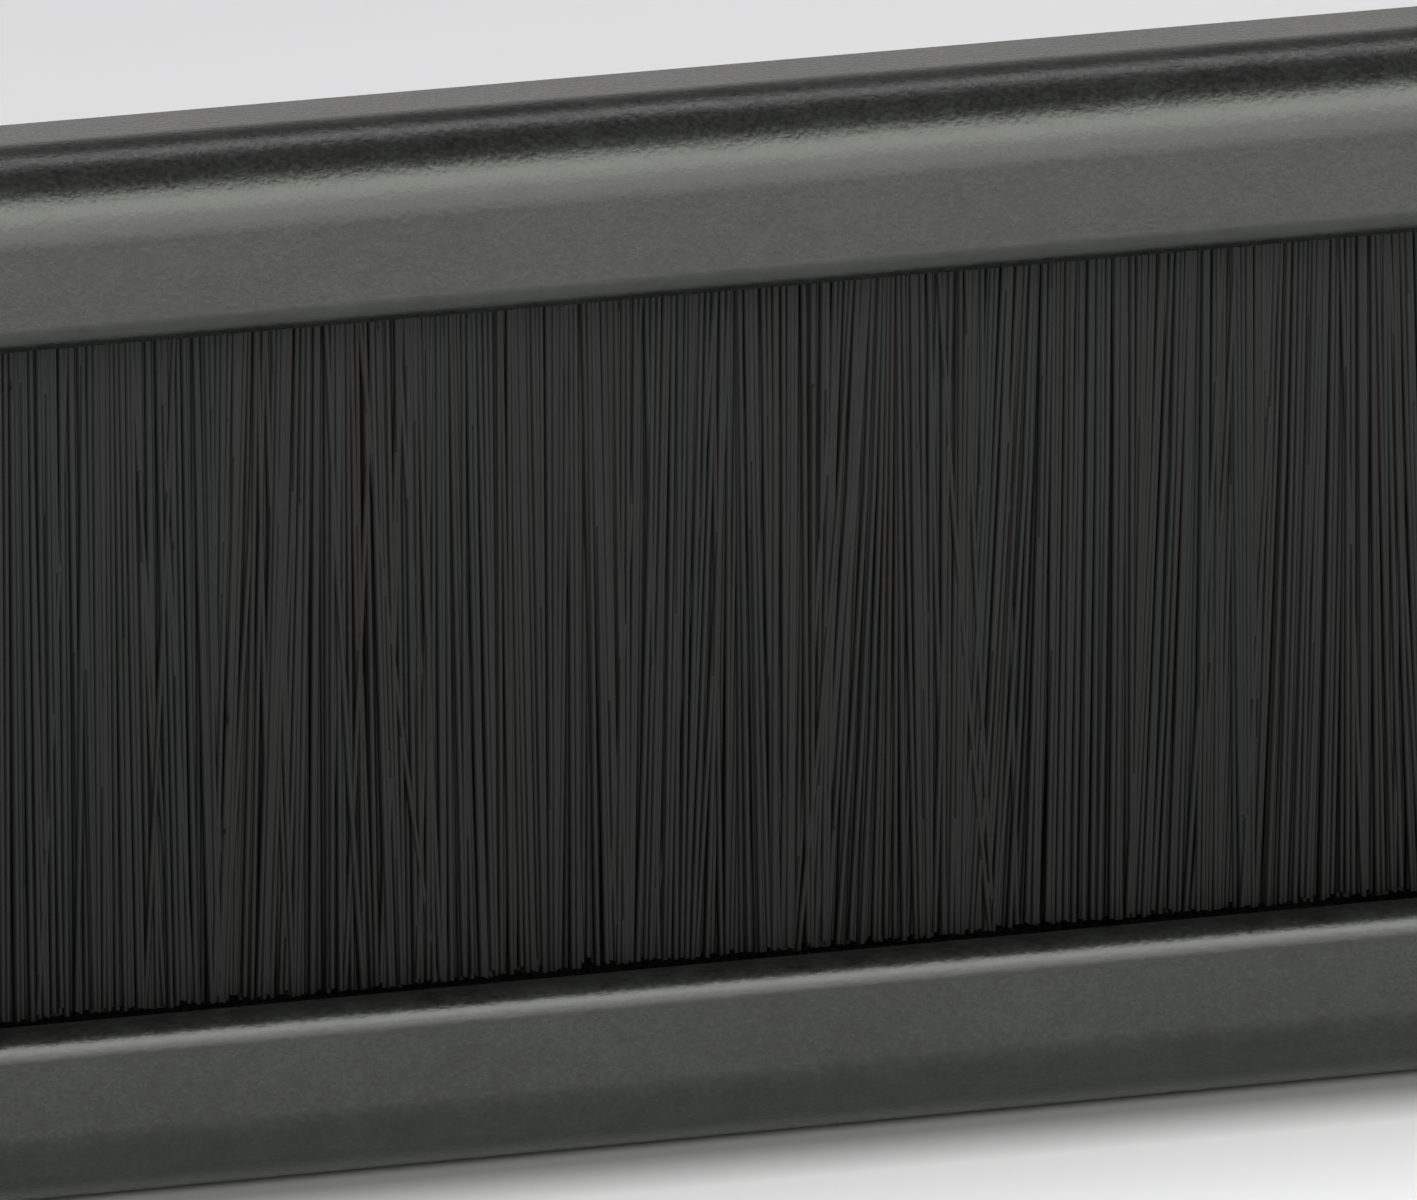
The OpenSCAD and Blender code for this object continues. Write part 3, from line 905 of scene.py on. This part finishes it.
def bristle_paths():
    """The middle line of every filament: up the front, over the wire, down the back.

    At a share t of a leg's free length, the leg has shifted sideways by its tip's shift
    times t to a power from 1.0 to 1.5, and moved out evenly from its place in the mouth
    to its place at the tips. Over the wire it follows a half circle.
    """
    x_low, x_high = brush_low[0] + FILAMENT_R, brush_high[0] - FILAMENT_R
    middle = (wire_low[1] + wire_high[1]) / 2
    wire_z = (wire_low[2] + wire_high[2]) / 2
    mouth_z, tip_z = channel_low[2], brush_low[2]
    x, in_mouth, loose = [], [], []
    for count, jitter, depths, looseness in LAYERS:
        place = (np.arange(count) + 0.5 + jitter * rng.uniform(-1, 1, count)) / count
        x.append(x_low + (x_high - x_low) * np.clip(place, 0, 1))
        in_mouth.append(rng.uniform(*depths, count))
        loose.append(np.full(count, looseness))
    x, in_mouth, loose = np.concatenate(x), np.concatenate(in_mouth), np.concatenate(loose)
    order = np.argsort(x)
    x, in_mouth, loose = x[order], in_mouth[order], loose[order]
    fold_r = FOLD_R + FOLD_SPREAD * in_mouth / MOUTH_REACH
    fold = np.radians([60, 120])
    rows = []
    for side in (-1, 1):
        tip = tip_z - TIP_DROP + abs(rng.normal(0, 0.15, len(x))) + 0.03 * wander(x, 3.0)
        shift = leg_shift(x, mouth_z - tip_z, loose)
        power = POWER + loose * rng.uniform(-POWER_SPREAD, POWER_SPREAD, len(x))
        start = x + side * BACK_OFFSET / 2
        at_tip = in_mouth * TIP_SPREAD / MOUTH_REACH + rng.normal(0, 0.05, len(x))
        at_tip = np.clip(at_tip, 0.05, TIP_SPREAD)
        leg = [np.stack([start, middle + side * fold_r, np.full(len(x), wire_z)], axis=1)]
        for t in (0, 0.36, 0.7, 1):
            y = middle + side * (in_mouth + (at_tip - in_mouth) * t)
            across = start + shift * t ** power
            across = np.clip(across, brush_low[0] - STRAY_REACH, brush_high[0] + STRAY_REACH)
            leg.append(np.stack([across, y, mouth_z + (tip - mouth_z) * t], axis=1))
        rows.append(leg)
    over = [np.stack([x, middle - fold_r * math.cos(a), wire_z + fold_r * math.sin(a)], axis=1) for a in fold]
    return np.stack(rows[0][::-1] + over + rows[1], axis=1)


def tubes(paths, radius, sides):
    """Round tubes along many paths at once, each ring square to its path.

    A ring's two directions are the one across the path nearest to X and the one square
    to both. A point lies at radius times their cosine and sine mix.
    """
    along = unit(np.gradient(paths, axis=1))
    across = unit(np.array([1.0, 0, 0]) - along * along[..., :1])
    third = np.cross(along, across)
    a = np.arange(sides) * 2 * math.pi / sides
    circle = across[..., None, :] * np.cos(a)[:, None] + third[..., None, :] * np.sin(a)[:, None]
    points = (paths[..., None, :] + radius * circle).reshape(-1, 3)
    count, rings = paths.shape[:2]
    k, i, j = np.meshgrid(np.arange(count), np.arange(rings - 1), np.arange(sides), indexing="ij")
    base = (k * rings + i) * sides
    n = (j + 1) % sides
    walls = np.stack([base + j, base + n, base + sides + n, base + sides + j], axis=-1).reshape(-1, 4)
    first = np.arange(count)[:, None] * rings * sides + np.arange(sides)
    last = first + (rings - 1) * sides
    normals = np.broadcast_to(circle, paths.shape[:2] + circle.shape[-2:]).reshape(-1, 3)
    return points, [walls, first[:, ::-1], last], normals


paths = bristle_paths()
for name, part in zip(("left", "middle", "right"), np.array_split(paths, 3)):
    points, faces, normals = tubes(part, FILAMENT_R, SIDES)
    shade = np.repeat(rng.random(len(part)), part.shape[1] * SIDES)
    make_piece(f"bristles_{name}", points, faces, nylon, "bristles", "nylon_bristle",
               normals, flat=(1, 2), shade=shade)

# %% [markdown]
# ## Table and light
# The panel stands on a pale, slightly glossy table. Black gloss shows only what it
# reflects, so the lights are placed for their reflections. The upright faces mirror
# the table in front. A softbox ahead of the panel, with a dimmer card under it, draws
# the pale band along each bend. A narrow strip overhead draws the thin line behind it,
# and a pale card behind the panel shows in the flat of the flange, with a dim card
# above it. Two boxes stand high at the sides. The camera doesn't see the lamps, and it
# sees a paler world than reflections do: they get one that is nearly black.

# %% Table
# Painted shade: the floor the camera sees is greyer within this distance of the panel's foot.
PAINTED_FOOT_SHADE = 4 * MM                     # how far the shade round the panel's foot reaches


def outside(tree, where, low, high):
    """How far outside a range a coordinate lies, from 0 at its ends to 1 past the shade."""
    off = combine(tree, "ABSOLUTE", combine(tree, "SUBTRACT", where, (low + high) / 2), 0)
    half = (high - low) / 2
    return spread(tree, off, 0, 1, half, half + PAINTED_FOOT_SHADE)


def pale_table():
    """The floor, in two finishes. The camera sees one, and every other ray the other.

    The camera sees a plain diffuse near-white, a little darker behind the panel. Round the
    panel's foot it has a painted shade, added to the real shadow. Other rays meet an
    off-white with a soft sheen and painted shade near the panel: it is greyest near the
    panel and palest from 150 mm in front.
    """
    material, tree, shader = new_material("pale_table", IOR=1.3)
    where = places(tree)
    cloud = grain(tree, where, 60.0, detail=2.0)
    x, y, _ = add_node(tree, "SeparateXYZ", {"Vector": where}).outputs
    # Painted shade in reflections: the table is greyer near the panel and palest from 150 mm in front.
    painted_reflected_shade = spread(tree, y, 0.95, 0, -0.15, -0.04)
    tone = combine(tree, "ADD", painted_reflected_shade, spread(tree, cloud, 0, 0.05))
    tree.links.new(shades(tree, tone, (0.0, (0.63, 0.65, 0.655)), (1.0, (0.95, 0.95, 0.95))),
                   shader.inputs["Base Color"])
    tree.links.new(spread(tree, cloud, 0.5, 0.56), shader.inputs["Roughness"])
    both_ways = add_node(tree, "CombineXYZ", {
        "X": outside(tree, x, cad_low.x, cad_high.x), "Y": outside(tree, y, cad_low.y, cad_high.y),
    })
    away = add_node(tree, "VectorMath", {0: both_ways.outputs["Vector"]}, operation="LENGTH").outputs["Value"]
    behind = spread(tree, y, 1, 0.76, 0, 0.2)
    # Painted shade round the foot: the camera's floor goes from 0.33 at the foot to 0.80 past the shade's
    # reach.
    level = combine(tree, "MULTIPLY", spread(tree, away, 0.33, 0.80, 0, 1), behind)
    tint = add_node(tree, "VectorMath", {0: (1.0, 0.99, 1.03), "Scale": level}, operation="SCALE")
    white = add_node(tree, "BsdfDiffuse", {"Color": tint.outputs["Vector"]})
    seen = add_node(tree, "LightPath").outputs["Is Camera Ray"]
    both = add_node(tree, "MixShader", {0: seen, 1: shader.outputs["BSDF"], 2: white.outputs["BSDF"]})
    tree.links.new(both.outputs["Shader"], tree.nodes["Material Output"].inputs["Surface"])
    return material


TABLE_HALF = 5.0
table_mesh = bpy.data.meshes.new("table")
table_z = cad_low.z
table_mesh.from_pydata(
    [(-TABLE_HALF, -TABLE_HALF, table_z), (TABLE_HALF, -TABLE_HALF, table_z),
     (TABLE_HALF, TABLE_HALF, table_z), (-TABLE_HALF, TABLE_HALF, table_z)],
    [], [(0, 1, 2, 3)],
)
table_mesh.materials.append(pale_table())
table = bpy.data.objects.new("table", table_mesh)
scene.collection.objects.link(table)


# %% Lamps
def lamp(name, place, aim, width, height, brightness):
    """A flat lamp whose face shows that brightness in red, green and blue.

    Its power is pi * area * brightness.
    """
    data = bpy.data.lights.new(name, "AREA")
    data.shape = "RECTANGLE"
    data.size, data.size_y = width, height
    data.energy = math.pi * width * height
    data.color = brightness
    light = bpy.data.objects.new(name, data)
    light.location = place
    light.rotation_euler = (Vector(aim) - Vector(place)).to_track_quat("-Z", "Y").to_euler()
    light.visible_camera = False
    scene.collection.objects.link(light)


def out_at(turn, rise, distance):
    """A place seen from the panel: turned from straight ahead, raised above the horizon."""
    t, r = math.radians(turn), math.radians(rise)
    return Vector((math.sin(t) * math.cos(r), -math.cos(t) * math.cos(r), math.sin(r))) * distance


lamp("softbox", out_at(19, 34, 1.2), (0, 0, 0), 1.6, 0.56, (4.3, 4.4, 4.0))
lamp("low_card", out_at(19, 9, 0.6), (0, 0, 0), 1.4, 0.27, (2.5, 2.5, 2.45))
lamp("overhead_strip", out_at(19, 104, 1.1), (0, 0, 0), 1.4, 0.10, (5.6, 5.6, 5.6))
lamp("left_box", (-1.5, 0.12, 1.1), (0, 0, 0), 1.0, 1.0, (6.0, 6.0, 6.0))
lamp("right_box", (1.5, 0.12, 1.1), (0, 0, 0), 1.0, 1.0, (6.0, 6.0, 6.0))
lamp("back_haze", (-0.3, 1.25, 1.05), (-0.3, 0, 0), 4.0, 0.62, (0.16, 0.16, 0.16))
lamp("back_card", (-0.3, 1.6, 0.42), (-0.3, 0, 0.42), 4.0, 0.85, (0.72, 0.71, 0.69))

# %% World
world = bpy.data.worlds.new("world")
scene.world = world
world.use_nodes = True
tree = world.node_tree
background = tree.nodes["Background"]
seen = add_node(tree, "LightPath").outputs["Is Camera Ray"]
tree.links.new(shades(tree, seen, (0.0, (0.03, 0.03, 0.031)), (1.0, (0.74, 0.74, 0.75))),
               background.inputs["Color"])
scene.view_settings.view_transform = "Standard"
